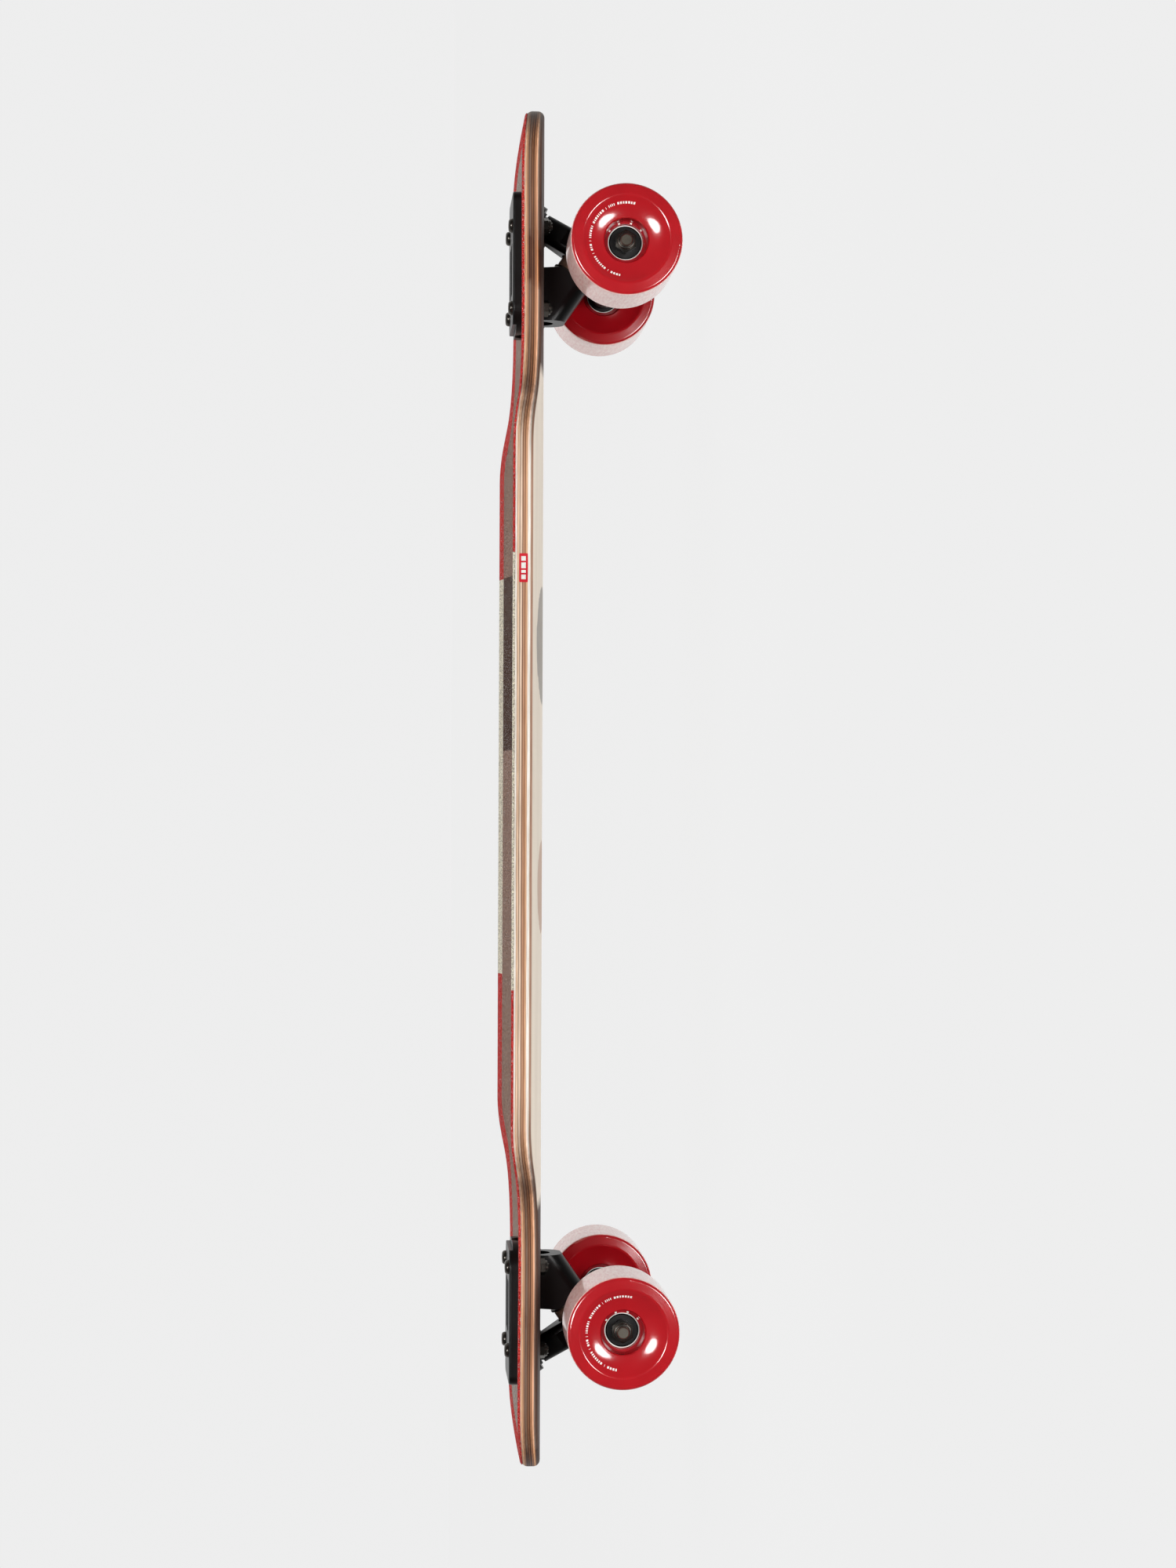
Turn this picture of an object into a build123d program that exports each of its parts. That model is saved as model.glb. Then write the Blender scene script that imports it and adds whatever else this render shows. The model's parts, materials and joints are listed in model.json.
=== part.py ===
"""Drop-through longboard: concave deck, two reverse-kingpin trucks, four wheels on bearings.

+X runs to the nose, +Z is up, and the origin is on the ground under the middle of the deck.
"""
import os
from math import cos, radians, sin, sqrt

from build123d import *

# Deck, in millimetres
DECK_LENGTH = 889.0
DECK_WIDTH = 212.0
DECK_THICKNESS = 12.0
DECK_BOTTOM_Z = 81.0          # lowest line of the deck, along its middle
CONCAVE_RADIUS = 500.0        # of the deck's underside, across the board
GRIP_THICKNESS = 1.0
GRIP_INSET = 2.5              # bare deck left around the grip tape
BADGE_LENGTH, BADGE_HEIGHT, BADGE_THICKNESS, BADGE_CORNER = 18.0, 5.4, 0.3, 0.6
BADGE_X = 135.0

# One quarter of the deck's outline: straight rail, waist beside the wheel, elliptical tip
STRAIGHT_RAIL_X = 213.0
WAIST = [(235.0, 98.0), (256.0, 78.5), (280.0, 67.0), (308.0, 63.5), (350.0, 66.0)]
TIP_START_X, TIP_HALF_WIDTH = 396.0, 67.5

# Wheels and axles
WHEELBASE = 679.4
WHEEL_RADIUS = 35.0
WHEEL_OUTER_Y, WHEEL_INNER_Y = 117.2, 66.4
CORE_RADIUS = 12.9
CORE_LIP = 2.5                # how far the core stands out past each bearing
HUB_OPENING_RADIUS = 11.3
HUB_STEP_RADIUS, HUB_STEP_DEPTH = 13.8, 5.8       # top edge of the wall round the hub, below the face
DISH_START_RADIUS, DISH_START_DEPTH = 14.5, 5.0
DISH_MIDDLE_RADIUS, DISH_MIDDLE_DEPTH = 21.0, 3.4
CREASE_RADIUS = 27.5          # where the dish meets the flat lip
LIP_RADIUS, TREAD_ROUNDING = 32.8, 2.7
BEARING_RADIUS, BEARING_WIDTH = 11.0, 7.0
RACE_INNER_RADIUS, RACE_OUTER_RADIUS = 6.1, 9.0   # the gap that the balls fill
SHIELD_INNER_RADIUS, SHIELD_OUTER_RADIUS = 6.3, 9.6
SPACER_RADIUS, WASHER_RADIUS = 5.2, 5.4
RIB_RADIUS = 9.6
BEARING_SPACING = 10.0
BALL_RADIUS, BALL_PITCH_RADIUS, BALL_COUNT = 1.98, 7.55, 7
SHIELD_THICKNESS = 0.3
AXLE_RADIUS = 3.95
AXLE_END_Y = 113.4
WASHER_THICKNESS = 1.2
AXLE_NUT_FLATS, AXLE_NUT_HEIGHT = 12.7, 7.2

# Trucks. The pivot axis rises outward from the axle, and the kingpin crosses it square.
PIVOT_ANGLE = 55.0
RING_AT = 21.0                # kingpin centre, along the pivot axis from the axle
HANGER_HALF_WIDTH = 77.5
RING_RADIUS, RING_HALF_THICKNESS = 15.6, 5.0
KINGPIN_HOLE_RADIUS = 7.2
SEAT_RADIUS, SEAT_AT = 13.2, 3.8
WEB_START, WEB_END = -8.0, 57.0                   # the hanger's web, along the pivot axis
BEAM_RADIUS, BEAM_END_RADIUS = 10.6, 7.4
ARM_START, ARM_WIDTH, ARM_HEIGHT = 30.0, 26.0, 18.0
ARM_END, ARM_END_WIDTH, ARM_END_HEIGHT, ARM_END_OFFSET = 56.0, 16.0, 17.0, -1.5
ARM_ROUNDING = 5.0
BUSHING_RADIUS, BUSHING_HEIGHT = 12.2, 12.6
CUP_THICKNESS, CUP_RADIUS = 1.4, 13.4
KINGPIN_RADIUS, KINGPIN_HEAD_RADIUS, KINGPIN_HEAD_HEIGHT = 4.75, 7.6, 6.0
KINGPIN_HEAD_AT = -38.0
KINGPIN_NUT_FLATS, KINGPIN_NUT_HEIGHT = 14.3, 8.0
PIVOT_NOSE_RADIUS, PIVOT_NOSE_END = 5.4, 66.0
PIVOT_CUP_RADIUS, PIVOT_CUP_START, PIVOT_CUP_END = 7.5, 58.0, 69.0
PIVOT_BOSS_RADIUS, PIVOT_BOSS_START = 10.4, 59.6
FLANGE_INNER_X, FLANGE_OUTER_X, FLANGE_HALF_WIDTH = -42.0, 49.1, 28.0
FLANGE_INNER_CORNER, FLANGE_OUTER_CORNER = 16.0, 6.0
FLANGE_TOP_Z = 102.0
FLANGE_STEP_LENGTH, FLANGE_STEP_DEPTH = 4.0, 2.6
POCKET_LENGTH, POCKET_WIDTH, POCKET_DEPTH, POCKET_Y = 34.0, 14.0, 2.2, 9.5
CUTOUT_INNER_X, CUTOUT_OUTER_X, CUTOUT_HALF_WIDTH = -34.0, 46.8, 14.6
CUTOUT_CORNER = 3.0
CUTOUT_GAP = 0.8              # between the baseplate and the ends of the cutout
WEDGE_HALF_WIDTH, WEDGE_ROUNDING = 13.6, 9.0
WEDGE_BELOW_RING, WEDGE_ABOVE_RING = 14.0, 8.5    # the wedge's face, either side of the kingpin
WEDGE_DEPTH, WEDGE_TOP_X = 30.0, 1.6
BOLT_SPACING_X, BOLT_SPACING_Y = 53.98, 41.3
BOLT_RADIUS, BOLT_HEAD_RADIUS, BOLT_HEAD_HEIGHT = 2.4, 4.65, 2.7
BOLT_HOLE_RADIUS = 2.6
BOLT_SOCKET_RADIUS, BOLT_SOCKET_DEPTH = 1.9, 1.6
LOCKNUT_FLATS, LOCKNUT_HEIGHT = 9.5, 5.0
NUT_SEAT_Z, NUT_SEAT_RADIUS = 81.9, 6.27
BOLT_END_Z = 75.9
BORE_GAP = 0.05
CUT_MARGIN = 10.0             # how far a cutting shape reaches past what it cuts

# Values that follow from the ones above
AXLE_X = WHEELBASE / 2
AXLE = Vector(AXLE_X, 0, WHEEL_RADIUS)
UP = Vector(cos(radians(PIVOT_ANGLE)), 0, sin(radians(PIVOT_ANGLE)))       # along the pivot axis
OUT = Vector(sin(radians(PIVOT_ANGLE)), 0, -cos(radians(PIVOT_ANGLE)))     # along the kingpin
CONCAVE_CENTRE_Z = DECK_BOTTOM_Z + CONCAVE_RADIUS
ABOVE_DECK_Z = FLANGE_TOP_Z + CUT_MARGIN
DECK_TOP_RADIUS = CONCAVE_RADIUS - DECK_THICKNESS
GRIP_TOP_RADIUS = DECK_TOP_RADIUS - GRIP_THICKNESS
FLANGE_BOTTOM_Z = CONCAVE_CENTRE_Z - sqrt(GRIP_TOP_RADIUS ** 2 - FLANGE_HALF_WIDTH ** 2) + 0.02
BUSHING_END = SEAT_AT + BUSHING_HEIGHT
WEDGE_FACE_AT = -(BUSHING_END + CUP_THICKNESS)
KINGPIN_NUT_AT = BUSHING_END + CUP_THICKNESS
INNER_BEARING_Y = HANGER_HALF_WIDTH + WASHER_THICKNESS
OUTER_BEARING_Y = INNER_BEARING_Y + BEARING_WIDTH + BEARING_SPACING
AXLE_NUT_Y = OUTER_BEARING_Y + BEARING_WIDTH + WASHER_THICKNESS
AXLE_PLANE = Plane(origin=AXLE, x_dir=(0, 1, 0), z_dir=(1, 0, 0))
AXLE_SQUARE = Plane(origin=AXLE, x_dir=(1, 0, 0), z_dir=(0, 1, 0))
AXLE_LINE = Axis(AXLE, (0, 1, 0))
ENDS = {"nose": 0, "tail": 180}          # each truck is the nose truck turned about Z
TRUCK_BOLTS = [(AXLE_X + x * BOLT_SPACING_X / 2, y * BOLT_SPACING_Y / 2) for x in (1, -1) for y in (1, -1)]


def on_truck(along_pivot, along_kingpin=0.0):
    """A point beside the nose axle, measured along the pivot axis and along the kingpin."""
    return AXLE + UP * along_pivot + OUT * along_kingpin


def kingpin_plane(at):
    """Square to the kingpin, at this distance from the hanger ring's centre."""
    return Plane(origin=on_truck(RING_AT, at), x_dir=(0, 1, 0), z_dir=OUT)


def pivot_plane(at):
    """Square to the pivot axis, at this distance from the axle."""
    return Plane(origin=on_truck(at), x_dir=(0, 1, 0), z_dir=UP)


def save(part, name):
    part.label = name
    export_step(part, f"parts/{name}.step")


def save_at_ends(part, name):
    """One copy at the nose and one, turned half a turn, at the tail."""
    for end, turn in ENDS.items():
        with BuildPart() as placed:
            add(part, rotation=(0, 0, turn))
        save(placed.part, f"{end}_{name}")


def save_at_corners(part, name):
    """A wheel's piece at all four corners. The given one is at the nose, on the +Y side."""
    for end, turn in ENDS.items():
        for side, mirrored in (("left", False), ("right", True)):
            flip = mirrored if end == "nose" else not mirrored
            with BuildPart() as placed:
                add(part, rotation=(0, 0, turn))
                if flip:
                    mirror(about=Plane.XZ, mode=Mode.REPLACE)
            save(placed.part, f"{end}_{side}_{name}")


# ---- Deck ----

def board_outline(inset=0.0):
    """The deck's outline as a face on the ground plane, drawn in by an inset."""
    start = (STRAIGHT_RAIL_X, DECK_WIDTH / 2 - inset)
    tip_start = (TIP_START_X, TIP_HALF_WIDTH - inset)
    tip_length = DECK_LENGTH / 2 - TIP_START_X - inset
    waist = [(x, y - inset) for x, y in WAIST]
    with BuildSketch(Plane.XY) as outline:
        with BuildLine():
            Spline(start, *waist, tip_start, tangents=[(1, 0), (1, 0)])
            EllipticalCenterArc((TIP_START_X, 0), tip_length, TIP_HALF_WIDTH - inset, arc_size=90)
            mirror(about=Plane.YZ)
            Line((-STRAIGHT_RAIL_X, start[1]), start)
            mirror(about=Plane.XZ)
        make_face()
    return outline.sketch


def concave_board(lower_radius, upper_radius, inset=0.0):
    """A layer of the board between two radii about the concave's centre line."""
    with BuildPart() as layer:
        with BuildSketch(Plane.YZ):
            with Locations((0, CONCAVE_CENTRE_Z)):
                Circle(lower_radius)
                Circle(upper_radius, mode=Mode.SUBTRACT)
            with Locations((0, DECK_BOTTOM_Z)):
                Rectangle(DECK_WIDTH + CUT_MARGIN, 2 * ABOVE_DECK_Z - 2 * DECK_BOTTOM_Z, mode=Mode.INTERSECT)
        extrude(amount=(DECK_LENGTH + CUT_MARGIN) / 2, both=True)
        add(board_outline(inset))
        extrude(amount=ABOVE_DECK_Z, mode=Mode.INTERSECT)
    return layer.part


def truck_cutouts():
    """The drop-through openings, as a sketch on the ground plane."""
    with BuildSketch(Plane.XY) as cutouts:
        middle = (CUTOUT_INNER_X + CUTOUT_OUTER_X) / 2
        for side in (1, -1):
            with Locations((side * (AXLE_X + middle), 0)):
                RectangleRounded(CUTOUT_OUTER_X - CUTOUT_INNER_X, 2 * CUTOUT_HALF_WIDTH, CUTOUT_CORNER)
    return cutouts.sketch


def bolt_circles(level, radius):
    """A circle at each of the eight truck bolts, as a sketch at one height."""
    places = [(end * x, y) for end in (1, -1) for x, y in TRUCK_BOLTS]
    with BuildSketch(Plane.XY.offset(level)) as circles:
        with Locations(*places):
            Circle(radius)
    return circles.sketch


def make_deck():
    with BuildPart() as deck:
        add(concave_board(CONCAVE_RADIUS, DECK_TOP_RADIUS))
        add(truck_cutouts())
        add(bolt_circles(0, BOLT_HOLE_RADIUS))
        extrude(amount=ABOVE_DECK_Z, mode=Mode.SUBTRACT)
        add(bolt_circles(NUT_SEAT_Z, NUT_SEAT_RADIUS))       # flats that the lock nuts pull against
        extrude(amount=-CUT_MARGIN, mode=Mode.SUBTRACT)
    save(deck.part, "deck")


def make_grip_tape():
    with BuildPart() as grip:
        add(concave_board(DECK_TOP_RADIUS, GRIP_TOP_RADIUS, inset=GRIP_INSET))
        add(truck_cutouts())
        add(bolt_circles(0, BOLT_HOLE_RADIUS))
        extrude(amount=ABOVE_DECK_Z, mode=Mode.SUBTRACT)
    save(grip.part, "grip_tape")


def make_rail_badge():
    rise = (DECK_WIDTH / 2) ** 2 / (2 * CONCAVE_RADIUS)
    badge_z = DECK_BOTTOM_Z + rise + DECK_THICKNESS / 2
    rail = Plane(origin=(BADGE_X, -DECK_WIDTH / 2, badge_z), x_dir=(1, 0, 0), z_dir=(0, -1, 0))
    with BuildPart() as badge:
        with BuildSketch(rail):
            RectangleRounded(BADGE_LENGTH, BADGE_HEIGHT, BADGE_CORNER)
        extrude(amount=BADGE_THICKNESS)
    save(badge.part, "rail_badge")


# ---- Truck ----

def truck_profile():
    """Truck coordinates on the board's middle plane: x outward from the axle, y is height."""
    return Plane(origin=(AXLE_X, 0, 0), x_dir=(1, 0, 0), z_dir=(0, -1, 0))


def make_wedge_and_pivot_housing():
    """What hangs through the deck: the kingpin wedge and the pivot housing."""
    axle_foot = Vector(AXLE_X, 0, 0)
    wedge_low = on_truck(RING_AT - WEDGE_BELOW_RING, WEDGE_FACE_AT) - axle_foot
    wedge_high = on_truck(RING_AT + WEDGE_ABOVE_RING, WEDGE_FACE_AT) - axle_foot
    wedge_back = wedge_low - OUT * WEDGE_DEPTH
    inner_x, outer_x = CUTOUT_INNER_X + CUTOUT_GAP, CUTOUT_OUTER_X - CUTOUT_GAP
    low_z, high_z = DECK_BOTTOM_Z - 6.0, FLANGE_BOTTOM_Z + 2.0
    with BuildPart() as body:
        with BuildSketch(truck_profile()):
            with BuildLine():
                Polyline(
                    (wedge_low.X, wedge_low.Z), (wedge_high.X, wedge_high.Z),
                    (WEDGE_TOP_X, DECK_BOTTOM_Z), (WEDGE_TOP_X, high_z),
                    (inner_x, high_z), (inner_x, wedge_back.Z), (wedge_back.X, wedge_back.Z),
                    close=True,
                )
            make_face()
        extrude(amount=WEDGE_HALF_WIDTH, both=True)
        along_kingpin = body.edges().filter_by(Axis((0, 0, 0), OUT))
        fillet(along_kingpin, WEDGE_ROUNDING)
        with BuildSketch(pivot_plane(PIVOT_BOSS_START)):
            Circle(PIVOT_BOSS_RADIUS)
        extrude(amount=24)
        chamfer(body.edges().filter_by(GeomType.CIRCLE).sort_by(Axis.X)[-1], 1.6)
        with BuildSketch(truck_profile()):
            with Locations(((outer_x + inner_x) / 2, (low_z + high_z) / 2 - 20)):
                Rectangle(outer_x - inner_x, high_z - low_z + 40)
        extrude(amount=WEDGE_HALF_WIDTH + 1, both=True, mode=Mode.INTERSECT)
    return body.part


def make_flange():
    """The plate that rests on the deck, with a low step at its inner end and two pockets."""
    with BuildPart() as flange:
        with BuildSketch(Plane.XY.offset(FLANGE_BOTTOM_Z)) as outline:
            with Locations((AXLE_X + (FLANGE_INNER_X + FLANGE_OUTER_X) / 2, 0)):
                Rectangle(FLANGE_OUTER_X - FLANGE_INNER_X, 2 * FLANGE_HALF_WIDTH)
            fillet(outline.vertices().group_by(Axis.X)[-1], FLANGE_OUTER_CORNER)
            fillet(outline.vertices().group_by(Axis.X)[0], FLANGE_INNER_CORNER)
        extrude(amount=FLANGE_TOP_Z - FLANGE_BOTTOM_Z)
        fillet(flange.faces().sort_by(Axis.Z)[-1].edges(), 1.2)
        with BuildSketch(Plane.XY.offset(FLANGE_TOP_Z - FLANGE_STEP_DEPTH)):
            with Locations((AXLE_X + FLANGE_INNER_X, 0)):
                Rectangle(2 * FLANGE_STEP_LENGTH, 2 * FLANGE_HALF_WIDTH)
        extrude(amount=CUT_MARGIN, mode=Mode.SUBTRACT)
        with BuildSketch(Plane.XY.offset(FLANGE_TOP_Z)):
            with Locations((AXLE_X, POCKET_Y), (AXLE_X, -POCKET_Y)):
                RectangleRounded(POCKET_LENGTH, POCKET_WIDTH, 3.0)
        extrude(amount=-POCKET_DEPTH, mode=Mode.SUBTRACT)
    return flange.part


def make_baseplate():
    with BuildPart() as baseplate:
        add(make_wedge_and_pivot_housing())
        add(make_flange())
        # bores for the kingpin, its head, the pivot cup and the bolts
        with BuildSketch(kingpin_plane(WEDGE_FACE_AT + 2)):
            Circle(KINGPIN_RADIUS + BORE_GAP)
        extrude(amount=-40, mode=Mode.SUBTRACT)
        with BuildSketch(kingpin_plane(KINGPIN_HEAD_AT)):
            Circle(KINGPIN_HEAD_RADIUS + 0.4)
        extrude(amount=-40, mode=Mode.SUBTRACT)
        with BuildSketch(pivot_plane(PIVOT_BOSS_START - CUT_MARGIN)):
            Circle(PIVOT_CUP_RADIUS)
        extrude(amount=PIVOT_CUP_END - PIVOT_BOSS_START + CUT_MARGIN, mode=Mode.SUBTRACT)
        with BuildSketch(Plane.XY):
            with Locations(*TRUCK_BOLTS):
                Circle(BOLT_HOLE_RADIUS)
        extrude(amount=ABOVE_DECK_Z, mode=Mode.SUBTRACT)
    save_at_ends(baseplate.part, "baseplate")


def make_pivot_cup():
    with BuildPart() as cup:
        with BuildSketch(pivot_plane(PIVOT_CUP_START)):
            Circle(PIVOT_CUP_RADIUS)
        extrude(amount=PIVOT_CUP_END - PIVOT_CUP_START)
        with BuildSketch(pivot_plane(PIVOT_CUP_START)):
            Circle(PIVOT_NOSE_RADIUS + 0.1)
        extrude(amount=PIVOT_NOSE_END - PIVOT_NOSE_RADIUS - PIVOT_CUP_START, mode=Mode.SUBTRACT)
        with Locations(pivot_plane(PIVOT_NOSE_END - PIVOT_NOSE_RADIUS)):
            Sphere(PIVOT_NOSE_RADIUS + 0.1, mode=Mode.SUBTRACT)
    save_at_ends(cup.part, "pivot_cup")


def arm_end_plane():
    """Square to the pivot axis where the arm ends, a little toward the wedge."""
    return Plane(origin=on_truck(ARM_END, ARM_END_OFFSET), x_dir=(0, 1, 0), z_dir=UP)


def make_hanger():
    with BuildPart() as hanger:
        # web between the axle beam, the ring and the pivot arm
        with BuildSketch(Plane(origin=AXLE, x_dir=(0, 1, 0), z_dir=OUT)):
            with BuildLine():
                Polyline(
                    (0, WEB_START), (52.0, -7.0), (HANGER_HALF_WIDTH - 6, -5.0), (HANGER_HALF_WIDTH - 6, 6.0),
                    (44.0, 9.5), (22.0, 23.0), (11.0, 40.0), (5.2, WEB_END), (0, WEB_END),
                )
                mirror(about=Plane.YZ)
            make_face()
        extrude(amount=RING_HALF_THICKNESS, both=True)
        fillet(hanger.edges().filter_by(Axis((0, 0, 0), OUT)).group_by(SortBy.LENGTH)[0], 3.0)
        # axle beam, thick in the middle
        with BuildSketch(AXLE_PLANE):
            with BuildLine():
                Polyline(
                    (0, 0), (HANGER_HALF_WIDTH, 0), (HANGER_HALF_WIDTH, BEAM_END_RADIUS),
                    (HANGER_HALF_WIDTH - 3, BEAM_END_RADIUS + 1), (30.0, BEAM_RADIUS), (0, BEAM_RADIUS),
                    close=True,
                )
            make_face()
        revolve(axis=AXLE_LINE)
        mirror(about=Plane.XZ)
        # kingpin ring
        with BuildSketch(kingpin_plane(-RING_HALF_THICKNESS)):
            Circle(RING_RADIUS)
        extrude(amount=2 * RING_HALF_THICKNESS)
        # pivot arm, a taper that ends in the round nose
        with BuildSketch(pivot_plane(ARM_START)):
            RectangleRounded(ARM_WIDTH, ARM_HEIGHT, ARM_ROUNDING)
        with BuildSketch(arm_end_plane()):
            RectangleRounded(ARM_END_WIDTH, ARM_END_HEIGHT, ARM_ROUNDING)
        loft()
        with BuildSketch(pivot_plane(ARM_END - 1)):
            Circle(PIVOT_NOSE_RADIUS)
        extrude(amount=PIVOT_NOSE_END - PIVOT_NOSE_RADIUS - ARM_END + 1)
        with Locations(pivot_plane(PIVOT_NOSE_END - PIVOT_NOSE_RADIUS)):
            Sphere(PIVOT_NOSE_RADIUS)
        # bushing seats on both faces of the ring, the kingpin hole and the axle bore
        for side in (1, -1):
            with BuildSketch(kingpin_plane(side * SEAT_AT)):
                Circle(SEAT_RADIUS)
            extrude(amount=side * BUSHING_HEIGHT, mode=Mode.SUBTRACT)
        with BuildSketch(kingpin_plane(-CUT_MARGIN)):
            Circle(KINGPIN_HOLE_RADIUS)
        extrude(amount=2 * CUT_MARGIN, mode=Mode.SUBTRACT)
        with BuildSketch(AXLE_SQUARE):
            Circle(AXLE_RADIUS)
        extrude(amount=HANGER_HALF_WIDTH + CUT_MARGIN, both=True, mode=Mode.SUBTRACT)
    save_at_ends(hanger.part, "hanger")


def make_kingpin():
    with BuildPart() as kingpin:
        with BuildSketch(kingpin_plane(KINGPIN_HEAD_AT - KINGPIN_HEAD_HEIGHT)):
            Circle(KINGPIN_HEAD_RADIUS)
        extrude(amount=KINGPIN_HEAD_HEIGHT)
        with BuildSketch(kingpin_plane(KINGPIN_HEAD_AT)):
            Circle(KINGPIN_RADIUS)
        extrude(amount=KINGPIN_NUT_AT + KINGPIN_NUT_HEIGHT + 2.5 - KINGPIN_HEAD_AT)
        chamfer(kingpin.edges().filter_by(GeomType.CIRCLE).sort_by(Axis.X)[-1], 0.8)
        with BuildSketch(kingpin_plane(KINGPIN_HEAD_AT - KINGPIN_HEAD_HEIGHT)):
            RegularPolygon(3.6, 6)
        extrude(amount=3.5, mode=Mode.SUBTRACT)
    save_at_ends(kingpin.part, "kingpin")


def make_nut(plane, flats, height, bore, collar):
    """A hex nut with coned corners and a round locking collar, standing on a plane."""
    body, cone_radius = height - collar, flats * 0.47
    with BuildPart() as nut:
        with BuildSketch(plane):
            RegularPolygon(flats / 2, 6, major_radius=False)
        extrude(amount=body)
        with Locations(plane):
            Cone(cone_radius + 2 * body, cone_radius, body, mode=Mode.INTERSECT,
                 align=(Align.CENTER, Align.CENTER, Align.MIN))
        with BuildSketch(plane.offset(body)):
            Circle(flats * 0.43)
        extrude(amount=collar)
        top_rim = nut.edges().filter_by(GeomType.CIRCLE).sort_by(Axis(plane.origin, plane.z_dir))[-1]
        fillet(top_rim, collar * 0.4)
        with BuildSketch(plane):
            Circle(bore)
        extrude(amount=height, mode=Mode.SUBTRACT)
    return nut.part


def make_kingpin_nut():
    plane = kingpin_plane(KINGPIN_NUT_AT)
    nut = make_nut(plane, KINGPIN_NUT_FLATS, KINGPIN_NUT_HEIGHT, KINGPIN_RADIUS, 2.0)
    save_at_ends(nut, "kingpin_nut")


def make_bushings():
    """Barrel bushing on the board side, tapered bushing on the road side."""
    shapes = {
        "board_bushing": (-1, [(BUSHING_RADIUS - 1.0, 0), (BUSHING_RADIUS, 1.2), (BUSHING_RADIUS, 11.0),
                               (BUSHING_RADIUS - 1.2, BUSHING_HEIGHT)]),
        "road_bushing": (1, [(BUSHING_RADIUS - 0.6, 0), (BUSHING_RADIUS, 0.8), (BUSHING_RADIUS, 3.0),
                             (9.4, BUSHING_HEIGHT - 0.8), (8.8, BUSHING_HEIGHT)]),
    }
    bore = KINGPIN_RADIUS + BORE_GAP
    for name, (side, outline) in shapes.items():
        seat = kingpin_plane(side * SEAT_AT).origin
        section = Plane(origin=seat, x_dir=(0, 1, 0), z_dir=Vector(0, 1, 0).cross(OUT * side))
        with BuildPart() as bushing:
            with BuildSketch(section):
                with BuildLine():
                    Polyline((bore, 0), *outline, (bore, BUSHING_HEIGHT), close=True)
                make_face()
            revolve(axis=Axis(seat, OUT))
        save_at_ends(bushing.part, name)


def make_cup_washers():
    with BuildPart() as cups:
        for start in (WEDGE_FACE_AT, BUSHING_END):
            with BuildSketch(kingpin_plane(start)):
                Circle(CUP_RADIUS)
                Circle(KINGPIN_RADIUS + BORE_GAP, mode=Mode.SUBTRACT)
            extrude(amount=CUP_THICKNESS)
        rims = cups.edges().filter_by(GeomType.CIRCLE).group_by(SortBy.RADIUS)[-1]
        fillet(rims, 0.5)
    save_at_ends(cups.part, "cup_washers")


def make_mounting_hardware():
    with BuildPart() as bolts:
        with BuildSketch(Plane.XY.offset(FLANGE_TOP_Z)):
            with Locations(*TRUCK_BOLTS):
                Circle(BOLT_HEAD_RADIUS)
        extrude(amount=BOLT_HEAD_HEIGHT)
        fillet(bolts.faces().sort_by(Axis.Z)[-4:].edges(), 2.0)
        with BuildSketch(Plane.XY.offset(FLANGE_TOP_Z)):
            with Locations(*TRUCK_BOLTS):
                Circle(BOLT_RADIUS)
        extrude(amount=BOLT_END_Z - FLANGE_TOP_Z)
        with BuildSketch(Plane.XY.offset(FLANGE_TOP_Z + BOLT_HEAD_HEIGHT)):
            with Locations(*TRUCK_BOLTS):
                RegularPolygon(BOLT_SOCKET_RADIUS, 6)
        extrude(amount=-BOLT_SOCKET_DEPTH, mode=Mode.SUBTRACT)
    save_at_ends(bolts.part, "mounting_bolts")
    seat = Plane(origin=(0, 0, NUT_SEAT_Z), z_dir=(0, 0, -1))
    with BuildPart() as nuts:
        nut = make_nut(seat, LOCKNUT_FLATS, LOCKNUT_HEIGHT, BOLT_RADIUS, 1.4)
        with Locations(*TRUCK_BOLTS):
            add(nut)
    save_at_ends(nuts.part, "mounting_nuts")


# ---- Axle and wheel ----

def turned(outline):
    """A solid of revolution about the axle, from points given as (y, radius)."""
    with BuildPart() as turned_part:
        with BuildSketch(AXLE_PLANE):
            with BuildLine():
                Polyline(*outline, close=True)
            make_face()
        revolve(axis=AXLE_LINE)
    return turned_part.part


def tube(start_y, end_y, inner, outer):
    return turned([(start_y, inner), (end_y, inner), (end_y, outer), (start_y, outer)])


def both_sides(*pieces):
    """The pieces and their mirror images on the truck's other side, as one group of solids."""
    with BuildPart() as group:
        for piece in pieces:
            add(piece)
        mirror(about=Plane.XZ)
    return group.part


def make_axle_pieces():
    with BuildPart() as axle:
        with BuildSketch(AXLE_SQUARE):
            Circle(AXLE_RADIUS)
        extrude(amount=AXLE_END_Y, both=True)
        chamfer(axle.edges().filter_by(GeomType.CIRCLE), 0.7)
    save_at_ends(axle.part, "axle")
    washers = both_sides(
        tube(HANGER_HALF_WIDTH, INNER_BEARING_Y, AXLE_RADIUS + BORE_GAP, WASHER_RADIUS),
        tube(AXLE_NUT_Y - WASHER_THICKNESS, AXLE_NUT_Y, AXLE_RADIUS + BORE_GAP, WASHER_RADIUS),
    )
    save_at_ends(washers, "speed_washers")
    spacer = tube(INNER_BEARING_Y + BEARING_WIDTH, OUTER_BEARING_Y, AXLE_RADIUS + BORE_GAP, SPACER_RADIUS)
    save_at_ends(both_sides(spacer), "bearing_spacers")
    races = both_sides(inner_race(INNER_BEARING_Y), inner_race(OUTER_BEARING_Y))
    save_at_ends(races, "inner_races")
    nut = make_nut(AXLE_SQUARE.offset(AXLE_NUT_Y), AXLE_NUT_FLATS, AXLE_NUT_HEIGHT, AXLE_RADIUS, 1.8)
    save_at_ends(both_sides(nut), "axle_nuts")


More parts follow.
